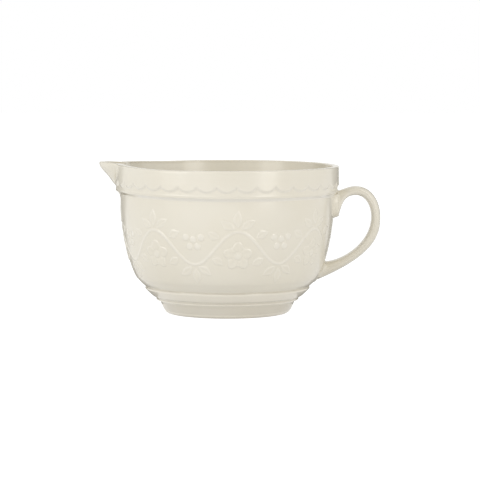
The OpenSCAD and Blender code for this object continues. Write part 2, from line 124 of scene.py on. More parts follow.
# The lip is let into a window in the collar and the wall, over these angles and above this height
turn_steps = 288
window_steps = 12
window_z = 112.9 * mm

# The rim's crown runs over the wall and the collar in one soft curve, which the two share
rim_round = 1.5 * mm
crown_z = rim_h - rim_round
rim_open = 3.5 * mm
crown_middle, crown_half = (band_r + inner_r + rim_open) / 2, (band_r - inner_r - rim_open) / 2
crown_power = 2.5
crown_seam = math.acos(-((crown_middle - wall_r) / crown_half) ** (crown_power / 2))


def inner_at(z):
    """Radius of the inside under the rim, where the real wall is drawn thinner and opens out."""
    return inner_r + rim_open * np.clip((z - collar_z) / (crown_z - collar_z), 0, 1) ** 1.3


def signed_power(x, power):
    """A power of x that keeps its sign."""
    return np.sign(x) * np.abs(x) ** power


def crown_places(start, end, steps):
    """Places over the crown, as shares of its half width and of its height."""
    return signed_power(heading(np.linspace(start, end, steps)), 2 / crown_power)


def crown_points(places):
    return np.stack([crown_middle + crown_half * places[:, 0], crown_z + rim_round * places[:, 1]], 1)


rim_sweep, border_sweep, lip_swell = 2.4 * mm, 1.5 * mm, 1.2 * mm


def swept(points):
    """Points of the collar, moved near the lip: the real rim and its border sweep up to it, and the
    border swells out a little below it. All of that fades with the angle from the lip, in degrees."""
    height = points[:, 2]
    turned_by = np.degrees(np.arctan2(np.abs(points[:, 1]), -points[:, 0]))
    share = np.clip((height - collar_z) / (rim_h - collar_z), 0, 1)
    low_sweep = border_sweep * fading(turned_by, 15, 80)
    high_sweep = rim_sweep * fading(turned_by, 10, 50)
    sweep = (low_sweep * (1 - share) + high_sweep * share) * rising(height, collar_z - 8 * mm, 8 * mm)
    swell = lip_swell * fading(turned_by, 4, 16) * fading(height, window_z, 14 * mm)
    swell = swell * rising(height, collar_z - 3.6 * mm, 4.5 * mm)
    moved = points.copy()
    moved[:, :2] *= 1 + (swell / np.maximum(np.hypot(points[:, 0], points[:, 1]), mm))[:, None]
    moved[:, 2] += sweep
    return moved


crown_inside = crown_places(crown_seam, math.pi, 12)
inside_z = np.linspace(window_z, crown_z, 14)


def turned(outline, cut=None):
    """Points and faces of an outline turned round the axis. With cut, the outline is left out from its
    first to its second place over the lip's window, and the wall is closed round that window."""
    n = len(outline)
    turn = 2 * math.pi * np.arange(turn_steps) / turn_steps
    points = at_angle(outline[None, :, 0], turn[:, None], outline[None, :, 1]).reshape(-1, 3)
    middle = turn_steps // 2
    faces = []
    for k in range(turn_steps):
        a, b = k * n, (k + 1) % turn_steps * n
        in_window = cut is not None and middle - window_steps <= k < middle + window_steps
        for j in range(n):
            m = (j + 1) % n
            on_axis = outline[j][0] == 0 and outline[m][0] == 0
            if not on_axis and not (in_window and cut[0] <= j < cut[1]):
                faces.append((a + j, b + j, b + m, a + m))
        if in_window:
            faces.append((a + cut[0], b + cut[0], b + cut[1], a + cut[1]))
    if cut is not None:
        for k in (middle - window_steps, middle + window_steps):
            faces.append([k * n + j for j in range(cut[0], cut[1] + 1)])
    return points, faces


class Wire:
    """A socket in a node tree. Sums, differences and products of wires add Math nodes."""

    def __init__(self, tree, socket=None):
        self.tree, self.socket = tree, socket

    def node(self, kind, settings=None, sockets=None, output=0):
        """A node of a type, with its settings and then the values or wires of its sockets."""
        made = self.tree.nodes.new("ShaderNode" + kind)
        for name, value in (settings or {}).items():
            setattr(made, name, value)
        for name, value in (sockets or {}).items():
            if isinstance(value, Wire):
                self.tree.links.new(value.socket, made.inputs[name])
            else:
                made.inputs[name].default_value = value
        return Wire(self.tree, made.outputs[output] if made.outputs else None)

    def maths(self, operation, a, b):
        return self.node("Math", {"operation": operation}, {0: a, 1: b})

    def __add__(self, other):
        return self.maths("ADD", self, other)

    def __sub__(self, other):
        return self.maths("SUBTRACT", self, other)

    def __rsub__(self, other):
        return self.maths("SUBTRACT", other, self)

    def __mul__(self, other):
        return self.maths("MULTIPLY", self, other)

    __radd__, __rmul__ = __add__, __mul__

    def clamped(self):
        return self.node("Clamp", None, {"Value": self})

    def between(self, low, high):
        """0 where the value is low, 1 where it is high, and a soft step between."""
        return self.node("MapRange", {"interpolation_type": "SMOOTHSTEP"}, {
            "Value": self, "From Min": low, "From Max": high})

    def mixed(self, a, b):
        """Colour a where the value is 0 and colour b where it is 1."""
        return self.node("Mix", {"data_type": "RGBA"}, {0: self, 6: a, 7: b}, 2)

    def blended(self, a, b):
        """Shader a where the value is 0 and shader b where it is 1."""
        return self.node("MixShader", None, {0: self, 1: a, 2: b})


def cleared(made):
    """The start of the wires of a material or a world, with its own nodes taken out."""
    made.use_nodes = True
    made.node_tree.nodes.clear()
    return Wire(made.node_tree)


def glazed(name, colour, pooled_and_shaded, thin, clay=None):
    """A glossy glaze over pale clay, with painted shade in the hollows, where the glaze also pools. It is
    deeper where the coat is thick and paler where it runs thin, and in places that coat is painted shade and
    light.
    With clay, it is wiped off what lies on the table."""
    material = bpy.data.materials.new(name)
    start = cleared(material)
    place = start.node("TexCoord", output="Object")
    cloud = start.node("TexNoise", None, {"Vector": place, "Scale": 22.0, "Detail": 2.0})
    grain = start.node("TexNoise", None, {"Vector": place, "Scale": 900.0, "Detail": 2.0})
    # Painted shade: ambient occlusion darkens the colour in hollows and corners, where the glaze also pools
    hollow_shade = 1 - start.node("AmbientOcclusion", {"samples": 8}, {"Distance": 2.5 * mm}, "AO")
    coat_and_shading = start.node("Attribute", {"attribute_name": "coat_and_shading"}, None, "Fac")
    # The glaze's own tone drifts a little round the bowl, to a warmer one
    warmer = [c * share for c, share in zip(colour, (0.98, 0.975, 0.96))]
    dipped = cloud.between(0.3, 0.7).mixed([*colour, 1], [*warmer, 1])
    thin_and_lit_edge = (0 - coat_and_shading).clamped() * (0.7 + 0.3 * grain)
    shade = (hollow_shade.between(0.08, 0.8) * 0.3 + coat_and_shading.clamped()).clamped()
    tone = shade.mixed(thin_and_lit_edge.mixed(dipped, [*thin, 1]), [*pooled_and_shaded, 1])
    rough = 0.17 + 0.06 * cloud - 0.04 * shade
    if clay is not None:
        level = start.node("SeparateXYZ", None, {0: place}, "Z")
        bare = 1 - (level + 0.5 * mm * cloud).between(0.35 * mm, 0.7 * mm)
        tone = bare.mixed(tone, [*clay, 1])
        rough = rough + 0.5 * bare
    ripple = start.node("TexNoise", None, {"Vector": place, "Scale": 55.0, "Detail": 1.0})
    swell = start.node("Bump", None, {"Strength": 0.3, "Distance": 0.2 * mm, "Height": ripple})
    surface = start.node("Bump", None, {
        "Strength": 0.06, "Distance": 0.05 * mm, "Height": grain, "Normal": swell})
    start.node("OutputMaterial", None, {"Surface": start.node("BsdfPrincipled", None, {
        "Base Color": tone, "Roughness": rough, "Normal": surface, "IOR": 1.5})})
    return material


def linked(name, data):
    """A new object in the scene."""
    made = bpy.data.objects.new(name, data)
    bpy.context.scene.collection.objects.link(made)
    return made


def piece(name, points, faces, material, slot, *nodes, coat_and_shading=None):
    """A closed piece of the bowl that stands for its nodes and takes its finish from its material. Slot is
    not used.
    Coat_and_shading at each point is 0 where the glaze is even, up to 1 where it pools and where shade is
    painted, and down to -1 where it runs thin and where light is painted."""
    mesh = bpy.data.meshes.new(name)
    mesh.from_pydata([tuple(p) for p in points], [], faces)
    layer = mesh.attributes.new("coat_and_shading", "FLOAT", "POINT")
    layer.data.foreach_set("value", np.zeros(len(points)) if coat_and_shading is None else np.ravel(coat_and_shading))
    shape = bmesh.new()
    shape.from_mesh(mesh)
    bmesh.ops.remove_doubles(shape, verts=shape.verts, dist=0.0002 * mm)
    bmesh.ops.recalc_face_normals(shape, faces=shape.faces)
    shape.to_mesh(mesh)
    shape.free()
    mesh.shade_smooth()
    mesh.set_sharp_from_angle(angle=math.radians(50))
    mesh.materials.append(material)
    made = linked(name, mesh)
    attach(made, "root")
    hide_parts(*nodes)


cream = (0.78, 0.74, 0.64)
# The pooled colour also serves as painted shade, and the thin one as painted light
cream_pooled_and_shaded = (0.60, 0.55, 0.43)
cream_thin_and_lit = (0.84, 0.81, 0.74)
cream_glaze = glazed("cream_glaze", cream, cream_pooled_and_shaded, cream_thin_and_lit)

inner_line = np.stack(wall_at(wall_s, -wall_t), 1)
floor_start = np.array([foot_top_r * 0.74, floor_z])
fall = 0.55 * np.linalg.norm(inner_line[0] - floor_start)
floor_line = bezier(
    floor_start, floor_start + [fall, 0], inner_line[0] - fall * heading(flare_slope), inner_line[0], 12)
floor_flat = np.stack([np.linspace(0, floor_start[0], 5)[:-1], np.full(4, floor_z)], 1)
below_window = np.linspace(wall_line[-1, 1], window_z, 4)[1:-1]
# A shallow groove runs round the flare just above the waist band
waist_top = 19.1 * mm
groove_w, groove_depth, groove_edge = 6 * mm, 0.5 * mm, 1.5 * mm
groove = rising(wall_s, waist_top - groove_edge, groove_edge) * fading(wall_s, waist_top, groove_w)
groove *= groove_depth
outer_line = np.stack(wall_at(wall_s, -groove), 1)
body_line = np.vstack([
    floor_flat, floor_line, inner_line[1::2],
    np.stack([inner_at(below_window), below_window], 1),
    np.stack([inner_at(inside_z[:-1]), inside_z[:-1]], 1),
    crown_points(crown_inside[::-1]),
    [[wall_r, window_z]],
    outer_line[::-1],
    [[foot_hollow_r, under_z], [foot_hollow_r / 2, under_z], [0, under_z]]])
cut_from = len(floor_flat) + len(floor_line) + len(inner_line[1::2]) + len(below_window)
cut_to = cut_from + len(inside_z) - 1 + len(crown_inside)
# Painted shade inside the bowl: it is darker towards the handle's side and lighter towards the lip,
# and darker still over the rim's crown
inside_shade, shade_towards_handle, rim_shade = 0.18, 0.35, 0.5
body_shading = np.zeros((turn_steps, len(body_line)))
off_lip = np.abs(np.arange(turn_steps) * 360 / turn_steps - 180)[:, None]
body_shading[:, :cut_to] = inside_shade - shade_towards_handle * np.cos(np.radians(off_lip))
body_shading[:, cut_to - len(crown_inside):cut_to] = rim_shade
points, faces = turned(body_line, (cut_from, cut_to))
piece("bowl_body_glazed", swept(points), faces, cream_glaze, "cream_glaze", "bowl_body", coat_and_shading=body_shading)


# Foot ring
# The real foot is a ring of clay under the floor, turned hollow, that flares up to the wall. Its
# resting face is wiped clean of glaze before the firing, so the bare clay shows there.

# The foot's thin colour also serves as painted light on its lower edge
foot_colour, foot_thin_and_lit = (0.71, 0.67, 0.58), (0.86, 0.815, 0.71)
clay = (0.66, 0.58, 0.48)
foot_glaze = glazed("foot_glaze", foot_colour, cream_pooled_and_shaded, foot_thin_and_lit, clay)
rest_r = 54 * mm
rest_edge = 1.2 * mm


def rounded(centre, radius, start, end, steps):
    """Points of a round corner, between two headings from its centre."""
    return np.asarray(centre) + radius * heading(np.radians(np.linspace(start, end, steps + 1)))


foot_line = bezier([rest_r, 0], [rest_r + 2.6 * mm, 0.4 * mm], [58.2 * mm, 3.0 * mm], foot_point, 20)
foot_outline = np.vstack([
    [[foot_hollow_r, under_z + 0.4 * mm]],
    rounded([foot_hollow_r + rest_edge, rest_edge], rest_edge, 180, 270, 6),
    np.stack([np.linspace(foot_hollow_r + 2 * mm, rest_r - 1 * mm, 3), np.zeros(3)], 1),
    foot_line,
    [wall_at(1.5 * mm, -0.9 * mm), wall_at(0, -3 * mm)]])
# Painted light just above the wiped face, standing for light bounced up from the table
foot_z = foot_outline[:, 1] / mm
foot_edge_light = -0.9 * rising(foot_z, 0.6, 0.6) * fading(foot_z, 2.4, 1.4)
piece("foot_ring_glazed", *turned(foot_outline), foot_glaze, "foot_glaze", "foot_ring",
      coat_and_shading=np.broadcast_to(foot_edge_light, (turn_steps, len(foot_outline))))


# Bands on the flare
# Above the real foot the mould raised a thin bead and a wide rounded band in the wall's own clay. The
# shallow grooves beside them hold more glaze and have painted shade in them, so they look like fine dark
# lines.

sink = 0.04 * mm
root_depth = 1.6 * mm


def band(start, width, proud, low_edge, top_edge, fall_off):
    """Outline of a band round the bowl and the coat at each point. It is fullest towards its upper edge
    and falls off to its lower one."""
    share = np.linspace(0, 1, 33)
    back = share[::-4]
    full = 1 - fall_off * (1 - share) ** 2.2
    edges = np.minimum(eased(share * width / low_edge), eased((1 - share) * width / top_edge))
    lift = proud * full * edges - sink
    top = np.stack(wall_at(start + share * width, lift), 1)
    under = np.stack(wall_at(start + back * width, np.full(len(back), -root_depth)), 1)
    coat_and_shading = np.append(0.25 * fading(lift, 0, 0.5 * proud) - rising(lift, 0, proud), np.zeros(len(back)))
    return np.vstack([top, under]), np.tile(coat_and_shading, (turn_steps, 1))


bead_line, bead_coat = band(2.4 * mm, 2.8 * mm, 1.0 * mm, 1.2 * mm, 1.2 * mm, 0)
piece("waist_bead_glazed", *turned(bead_line), foot_glaze, "foot_glaze", "waist_bead", coat_and_shading=bead_coat)
waist_line, waist_coat = band(6.3 * mm, 13 * mm, 1.2 * mm, 2.4 * mm, 1.1 * mm, 0.5)
piece("waist_band_glazed", *turned(waist_line), foot_glaze, "foot_glaze", "waist_band", coat_and_shading=waist_coat)


# Collar
# The real collar is a broad plain band that stands off the wall, over a narrow recessed strip. It is
# of the wall's own clay, cast in the same mould, and its edges are as soft as the glaze over them.

strip_r = wall_r + 2.7 * mm
points_z = rim_h - 14.5 * mm
step_h = 2.9 * mm
hem_step_h = 4.4 * mm


def soft_step(low_r, high_r, middle_z, height, steps=9):
    """A step outwards in an upright wall, as radius and height."""
    share = np.linspace(0, 1, steps)
    return np.stack([low_r + (high_r - low_r) * eased(share), middle_z + height * (share - 0.5)], 1)


hem_z = collar_z + 1.3 * mm
hem_line = soft_step(wall_r, strip_r, hem_z, hem_step_h, 15)
face_line = np.vstack([
    [[strip_r, window_z], [strip_r, window_z + 1.5 * mm], [strip_r, window_z + 3 * mm]],
    soft_step(strip_r, band_r, points_z, step_h),
    np.stack([np.full(8, band_r), np.linspace(points_z + 2 * mm, crown_z, 9)[:-1]], 1)])
crown_outside = crown_places(0, crown_seam, 9)
collar_outline = np.vstack([
    hem_line, face_line, crown_points(crown_outside),
    [[wall_r, window_z], [wall_r - 0.3 * mm, hem_line[0, 1]]]])
collar_cut = (len(hem_line), len(collar_outline) - 2)
collar_shading = np.zeros((turn_steps, len(collar_outline)))
hem_share = np.linspace(0, 1, len(hem_line))
# Painted light on the collar's lower step, which faces down into shade
hem_light = -0.9 * np.sin(math.pi * (0.15 + 0.85 * hem_share))
# Near the lip a line of painted shade lies in the corner of the collar's lower edge instead
by_lip = fading(off_lip, 29, 12)
hem_shade = np.exp(-((hem_share - 0.35) / 0.2) ** 2)
collar_shading[:, :len(hem_line)] = hem_light * (1 - by_lip) + hem_shade * by_lip
crown_from = len(hem_line) + len(face_line)
# Painted shade over the rim's crown, as on its inside
crown_shade = rim_shade * np.linspace(0, 1, len(crown_outside))
collar_shading[:, crown_from:crown_from + len(crown_outside)] = crown_shade
points, faces = turned(collar_outline, collar_cut)
piece("rim_collar_glazed", swept(points), faces, cream_glaze, "cream_glaze", "rim_collar", coat_and_shading=collar_shading)


# Scalloped edge
# Thirty-five shallow scallops hang from the real collar's plain band, of the same clay and raised by
# the same mould. The pouring lip takes the place of the thirty-sixth.

scallop_count = 36
scallop_drop = 4.2 * mm
scallop_angle = 2 * math.pi / scallop_count
scallop_columns = 20
scallop_half = collar_r * math.sin(scallop_angle / 2)
disc_r = (scallop_half**2 + scallop_drop**2) / (2 * scallop_drop)
disc_z = points_z - scallop_drop + disc_r
border_z = points_z + 1.2 * mm
scallop_rows = np.concatenate([
    np.linspace(points_z - scallop_drop - 1.5 * mm, border_z, 19), points_z + np.array([2.4, 4, 6, 8]) * mm])
column = np.arange(scallop_columns * (scallop_count - 1) + 1)
turn = math.pi + scallop_angle / 2 + column * scallop_angle / scallop_columns
off_middle = (np.mod(column, scallop_columns) / scallop_columns - 0.5) * 2 * scallop_half
inside = disc_r - np.hypot(off_middle[:, None], disc_z - np.minimum(scallop_rows, points_z)[None, :])
inside = inside + np.maximum(scallop_rows - points_z, 0)[None, :]
scallop_lift = (collar_r - strip_r) * rising(inside, -step_h / 2, step_h)
under_band = 0.07 * mm * rising(scallop_rows, points_z + 2 * mm, 6 * mm)
scallop_face = strip_r + scallop_lift - sink * (inside < -0.4 * step_h) - under_band
back_rows = 4
scallop_back = np.full((len(column), back_rows), wall_r + 0.6 * mm)
scallop_loop = np.concatenate([scallop_face, scallop_back], 1)
loop_z = np.concatenate([scallop_rows, np.linspace(scallop_rows[-1], scallop_rows[0], back_rows)])
# Beside the lip the border stays low and sinks into the lip's sides
from_lip = np.degrees(np.abs(turn - math.pi - 2 * math.pi * (turn > 2 * math.pi)))[:, None]
upper_share = 0.05 + 0.95 * rising(from_lip, 9, 6)
loop_z = np.minimum(loop_z, border_z) + np.maximum(loop_z - border_z, 0) * upper_share
lip_w, lip_root_w = 38 * mm, 8 * mm


def lip_half(z):
    """Half the pouring lip's width at a height."""
    rise = np.clip((z - window_z) / (crown_z - window_z), 0, 1)
    return (lip_root_w + (lip_w - lip_root_w) * rise**0.6) / 2


beside = (lip_half(loop_z) - collar_r * np.sin(np.radians(np.minimum(from_lip, 90))))[:, :len(scallop_rows)]
scallop_loop[:, :len(scallop_rows)] -= 0.35 * mm * rising(beside, -1.5 * mm, 2.5 * mm)


def strip_solid(points):
    """Points and faces of a solid from rings of points, closed with a flat face at each end."""
    count, n = points.shape[:2]
    faces = [(j * n + i, (j + 1) * n + i, (j + 1) * n + (i + 1) % n, j * n + (i + 1) % n)
             for j in range(count - 1) for i in range(n)]
    faces += [list(range(n)), list(range((count - 1) * n, count * n))]
    return points.reshape(-1, 3), faces


points, faces = strip_solid(at_angle(scallop_loop, turn[:, None], loop_z))
# Painted light along the scallops' edges, where their steps fall into shade
scallop_edge_light = np.zeros(scallop_loop.shape)
scallop_edge_light[:, :len(scallop_rows)] = -0.4 * np.exp(-((inside / (0.5 * step_h)) ** 2))
piece("scallop_border_glazed", swept(points), faces, cream_glaze, "cream_glaze", "scallop_border",
      coat_and_shading=scallop_edge_light)


# Collar bead
# A thin bead of the same clay closes the real collar at its lower edge. The mould raised it, and the
# glaze rounds it off.

bead_z, bead_h, bead_proud = 110.2 * mm, 2.8 * mm, 0.3 * mm
bead_share = np.linspace(0, 1, 17)
bead_lift = bead_proud * np.sin(math.pi * eased(bead_share)) ** 1.4 - sink
bead_loop = np.concatenate([
    np.stack([strip_r + bead_lift, bead_z - 0.2 * mm + (bead_h + 0.4 * mm) * bead_share], 1),
    [[strip_r - root_depth, bead_z + bead_h], [strip_r - root_depth, bead_z]]])
points, faces = turned(bead_loop)
piece("collar_bead_glazed", swept(points), faces, cream_glaze, "cream_glaze", "collar_bead")


# Pouring lip
# The real lip was pulled out of the rim while the clay was soft. Its sides sweep out of the collar in
# a soft crease, its tip stands a little above the rim, and a rounded channel leads to it inside.

lip_low, lip_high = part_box("pouring_lip")
lip_reach = -lip_low.x - collar_r
lip_rise = lip_high.z - rim_h
lip_t = 5.4 * mm
lip_columns = 96
window_half = math.radians(360 / turn_steps * window_steps)
crease, rim_crease = 0.8 * mm, 3.4 * mm
channel_crease, channel_share = 6 * mm, 0.9
lip_bow_power, lip_sweep_power = 1.6, 1.75
lip_turn = np.linspace(-window_half, window_half, lip_columns + 1)


def soft_positive(x, blend):
    """x where it is positive and 0 where it is negative, with a rounded corner."""
    blend = np.maximum(blend, 1e-7)
    return np.where(x < -blend, 0, np.where(x > blend, x, (x + blend) ** 2 / (4 * blend)))


def lip_shape(y, z):
    """How full the lip is at a distance from its middle and a height, how far it is swept out there,
    and how far up the lip that height is."""
    rise = np.clip((z - window_z) / (crown_z - window_z), 0, 1)
    bulge = 1 - (np.abs(y) / lip_half(z)) ** lip_bow_power
    return np.maximum(bulge, -4), np.sin(math.pi / 2 * rise**lip_sweep_power), rise


def lip_place(base_r, y, push, z, bulge, rise):
    """Points pushed out from an upright wall, and lifted where the lip is full."""
    lift = (lip_rise - rim_sweep) * soft_positive(bulge, 0.08) * rise**2
    return np.stack([-(np.sqrt(base_r**2 - y**2) + push), y, z + lift], -1)


face_z = np.linspace(window_z, crown_z, 49)
face_r = np.interp(face_z, face_line[:, 1], face_line[:, 0])
ease_in = rising(face_z, window_z, 4 * mm)
y = face_r[None, :] * np.sin(lip_turn)[:, None]
bulge, sweep, rise = lip_shape(y, face_z[None, :])
keel = np.exp(-((y / (3.5 * mm)) ** 2))
grown = strip_r + (band_r - strip_r) * rising(face_z, window_z, 6 * mm)
above = (grown - face_r)[None, :] + (lip_reach * sweep + 0.8 * mm * ease_in * (1 - sweep)) * bulge
at_rim = rising(rise, 0.5, 0.5)
softness = (crease + (rim_crease - crease) * at_rim) * ease_in
outside = lip_place(face_r, y, soft_positive(above, softness), face_z, bulge, rise)
channel_z = np.linspace(window_z, crown_z, 37)
channel_r = inner_at(channel_z)
y = channel_r[None, :] * np.sin(lip_turn)[:, None]
bulge, sweep, rise = lip_shape(y / channel_share, channel_z[None, :])
channel = (lip_reach + collar_r - channel_r - lip_t) * sweep * bulge
softness = channel_crease * rising(channel_z, window_z, 12 * mm)
channelled = lip_place(channel_r, y, soft_positive(channel, softness), channel_z, bulge, rise)
crown = np.concatenate([crown_outside, crown_inside[1:]])[1:-1]
share = ((1 - crown[:, 0]) / 2)[None, :, None]
over_crown = outside[:, -1:] * (1 - share) + channelled[:, -1:] * share
over_crown[:, :, 2] += rim_round * crown[:, 1]
lip_loop = np.concatenate([outside, over_crown, channelled[:, ::-1]], 1)
# Painted shade in the creases, where the glaze also pools, along the lip's middle, on its rim and in the
# channel
lip_shading = np.zeros(lip_loop.shape[:2])
lip_shading[:, :len(face_z)] = np.maximum(
    0.8 * np.exp(-((above / (1.3 * mm)) ** 2)) * (1 - at_rim), 0.8 * keel) * ease_in
in_lip = eased((window_half - np.abs(lip_turn)) / math.radians(7))[:, None]
lip_shading[:, len(face_z):-len(channel_z)] = rim_shade * (1 + 0.8 * in_lip)
lip_shading[:, len(face_z):len(face_z) + len(crown_outside) - 1] = crown_shade[1:] * (1 + 0.8 * in_lip)
lip_shading[:, -len(channel_z):] = inside_shade - shade_towards_handle
points, faces = strip_solid(lip_loop)
turned_back = at_angle(collar_r, math.pi - lip_turn[:, None], lip_loop[:, :, 2]).reshape(-1, 3)
points += swept(turned_back) - turned_back
piece("pouring_lip_glazed", points, faces, cream_glaze, "cream_glaze", "pouring_lip", coat_and_shading=lip_shading)


# Handle terminal
# The real strap ends above in a flat tongue of the same clay that fills the step between the wall and
# the collar. It was pressed on while soft and smoothed off round its edge.

terminal_w, terminal_h = 29 * mm, 21.5 * mm
terminal_edge = 2.6 * mm
tongue_power, tongue_r = 0.75, collar_r - 0.1 * mm
top_s = np.interp(collar_z, wall_line[:, 1], wall_s)
middle_s = top_s - terminal_h / 2 + 0.5 * mm


def disc_solid(rings, centre, back):
    """Points and faces of a solid from rings of points, drawn in to a centre in front and one behind."""
    count, n = rings.shape[:2]
    points = np.vstack([rings.reshape(-1, 3), [centre], [back]])
    faces = [(j * n + i, j * n + (i + 1) % n, (j + 1) * n + (i + 1) % n, (j + 1) * n + i)
             for j in range(count - 1) for i in range(n)]
    last = (count - 1) * n
    faces += [(last + i, last + (i + 1) % n, count * n) for i in range(n)]
    faces += [(i, count * n + 1, (i + 1) % n) for i in range(n)]
    return points, faces


def on_wall(angle, s, lift):
    """Points at an angle round the bowl and a place s along the wall, lifted off it."""
    radius, height = wall_at(s, lift)
    return at_angle(radius, angle, height)


def tongue_half(sine):
    """Half width of the tongue: it is narrower below."""
    return terminal_w / 2 * (1 - 0.1 * (1 - sine))


around = np.linspace(0, 2 * math.pi, 96, endpoint=False)
tongue = np.stack([signed_power(np.cos(around), tongue_power) * tongue_half(np.sin(around)),
                   signed_power(np.sin(around), tongue_power) * terminal_h / 2], 1)
tongue[:, 1] *= np.where(tongue[:, 1] > 0, 1.15, 1)
from_middle = np.linalg.norm(tongue, axis=1)
scales = np.array([1.1, 1.06, 1.03, 1, 0.97, 0.94, 0.9, 0.86, 0.8, 0.7, 0.5, 0.25])
from_edge = (scales[0] - scales)[:, None] * from_middle[None, :]
places = scales[:, None, None] * tongue[None]
tongue_s = middle_s + places[:, :, 1]
tongue_wall, tongue_z = wall_at(tongue_s)
# Above the wall's line, under the collar, the tongue runs on straight up
tongue_z += np.maximum(tongue_s - wall_s[-1], 0)
fullness = eased(from_edge / terminal_edge)
tongue_face = (tongue_wall - sink) * (1 - fullness) + tongue_r * fullness
tongue_rings = at_angle(tongue_face, places[:, :, 0] / wall_r, tongue_z)
tongue_sunk = at_angle(tongue_wall[:1] - root_depth, places[:1, :, 0] / wall_r, tongue_z[:1])
tongue_rings = np.concatenate([tongue_sunk, tongue_rings])
piece("handle_terminal_glazed",
      *disc_solid(tongue_rings, tongue_rings[-1].mean(0), on_wall(0, middle_s, -root_depth)),
      cream_glaze, "cream_glaze", "handle_terminal")


# Handle
# The real handle is a pulled strap of clay, flatter outside than inside, bent into an ear and pressed
# onto the terminal above and the wall below while both were soft, with the joins wiped smooth.

handle_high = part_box("handle")[1]
handle_t, handle_w = 8.3 * mm, 17 * mm
handle_root_w, handle_root_h = 20 * mm, 21.6 * mm
handle_foot_w, handle_foot_h, handle_foot_z = 23 * mm, 17.7 * mm, 28.7 * mm
crown_top = handle_high.z - 0.4 * mm
bow_x = handle_high.x
crown_x = collar_r + 0.4 * (bow_x - collar_r)
bow_z = handle_foot_z + 0.675 * (crown_top - handle_foot_z)
root_top = crown_top - handle_t / 2
root_low = root_top - handle_root_h
root_run = crown_x - collar_r


def wall_radius(z):
    return np.interp(z, wall_line[:, 1], wall_line[:, 0])


foot_low = np.array([wall_radius(handle_foot_z), handle_foot_z])
foot_high = np.array([wall_radius(handle_foot_z + handle_foot_h), handle_foot_z + handle_foot_h])
root_steps, bow_steps, fall_steps = 96, 120, 192
outer_start, outer_crown = np.array([collar_r, root_top]), np.array([crown_x, crown_top])
outer_bow = np.array([bow_x, bow_z])
outer_edge = np.vstack([
    bezier(outer_start, outer_start + 0.5 * root_run * heading(math.radians(21)),
           outer_crown - [0.26 * root_run, 0], outer_crown, root_steps),
    bezier(outer_crown, outer_crown + [0.61 * (bow_x - crown_x), 0],
           outer_bow + [0, 0.54 * (crown_top - bow_z)], outer_bow, bow_steps)[1:],
    bezier(outer_bow, outer_bow - [0, 0.25 * (bow_z - foot_low[1])],
           foot_low + 1.049 * (bow_x - foot_low[0]) * heading(math.radians(22.4)), foot_low, fall_steps)[1:]])
inner_start, inner_crown = np.array([collar_r, root_low]), np.array([crown_x, crown_top - handle_t])
inner_bow = np.array([bow_x - handle_t, bow_z])
inner_edge = np.vstack([
    bezier(inner_start, inner_start + 0.34 * (inner_crown[1] - root_low) * heading(math.radians(72)),
           inner_crown - [0.8 * root_run, 0], inner_crown, root_steps),
    bezier(inner_crown, inner_crown + [0.6 * (inner_bow[0] - crown_x), 0],
           inner_bow + [0, 0.52 * (inner_crown[1] - bow_z)], inner_bow, bow_steps)[1:],
    bezier(inner_bow, inner_bow - [0, 0.6 * (bow_z - foot_high[1])],
           foot_high + [0.35 * (inner_bow[0] - foot_high[0]), 0], foot_high, fall_steps)[1:]])
# Both edges run on a little way into the clay at each end
reach_in = 7 * mm
inwards = [edge[-1] + (edge[-1] - edge[-4]) / np.linalg.norm(edge[-1] - edge[-4]) * reach_in
           for edge in (outer_edge, inner_edge)]
outer_edge = np.vstack([[outer_start - [reach_in, 0]], outer_edge, [inwards[0]]])
inner_edge = np.vstack([[inner_start - [reach_in, 0]], inner_edge, [inwards[1]]])
path = np.arange(len(outer_edge), dtype=float) - 1
into_root = np.clip(path / root_steps, 0, 1)
into_foot = np.clip((path - root_steps - bow_steps) / fall_steps, 0, 1)
strap_w = np.where(path < root_steps,
                   handle_root_w + (handle_w - handle_root_w) * np.sin(math.pi / 2 * into_root),
                   handle_w + (handle_foot_w - handle_w) * into_foot**2)

strap_sides, strap_power = 44, 0.84
side_turn = np.linspace(0, 2 * math.pi, strap_sides, endpoint=False)
along_y, across = signed_power(heading(side_turn), strap_power).T
strap_middle = (outer_edge + inner_edge) / 2
strap_half = (outer_edge - inner_edge) / 2
flat = strap_middle[:, None] + strap_half[:, None] * across[None, :, None]
lines = np.stack([flat[:, :, 0], strap_w[:, None] / 2 * along_y[None], flat[:, :, 1]], -1)
outwards = lines - np.stack([strap_middle[:, 0], np.zeros(len(path)), strap_middle[:, 1]], -1)[:, None]
outwards /= np.linalg.norm(outwards, axis=2, keepdims=True)
fillet_shares = np.linspace(1, 0, 8)
strip_z, sunk = 107 * mm, 1.2 * mm
end_reach = 180


def resting_r(y, z, upper):
    """Radius of the face that an end of the strap sits on, at a place on it."""
    if not upper:
        return wall_radius(z)
    up_tongue = np.clip((z - wall_at(middle_s)[1]) / (terminal_h / 2), -1, 1)
    across_tongue = np.abs(y) / tongue_half(signed_power(up_tongue, 1 / tongue_power))
    power = 2 / tongue_power
    scale = (across_tongue**power + np.maximum(-up_tongue, 0) ** power) ** (1 / power)
    full = eased((scales[0] - scale) * 0.5 * terminal_h / terminal_edge)
    tongue_at = wall_radius(z) * (1 - full) + tongue_r * full
    on_strip = rising(z, strip_z, 3 * mm)
    return tongue_at * (1 - on_strip) + (strip_r + 0.4 * mm) * on_strip


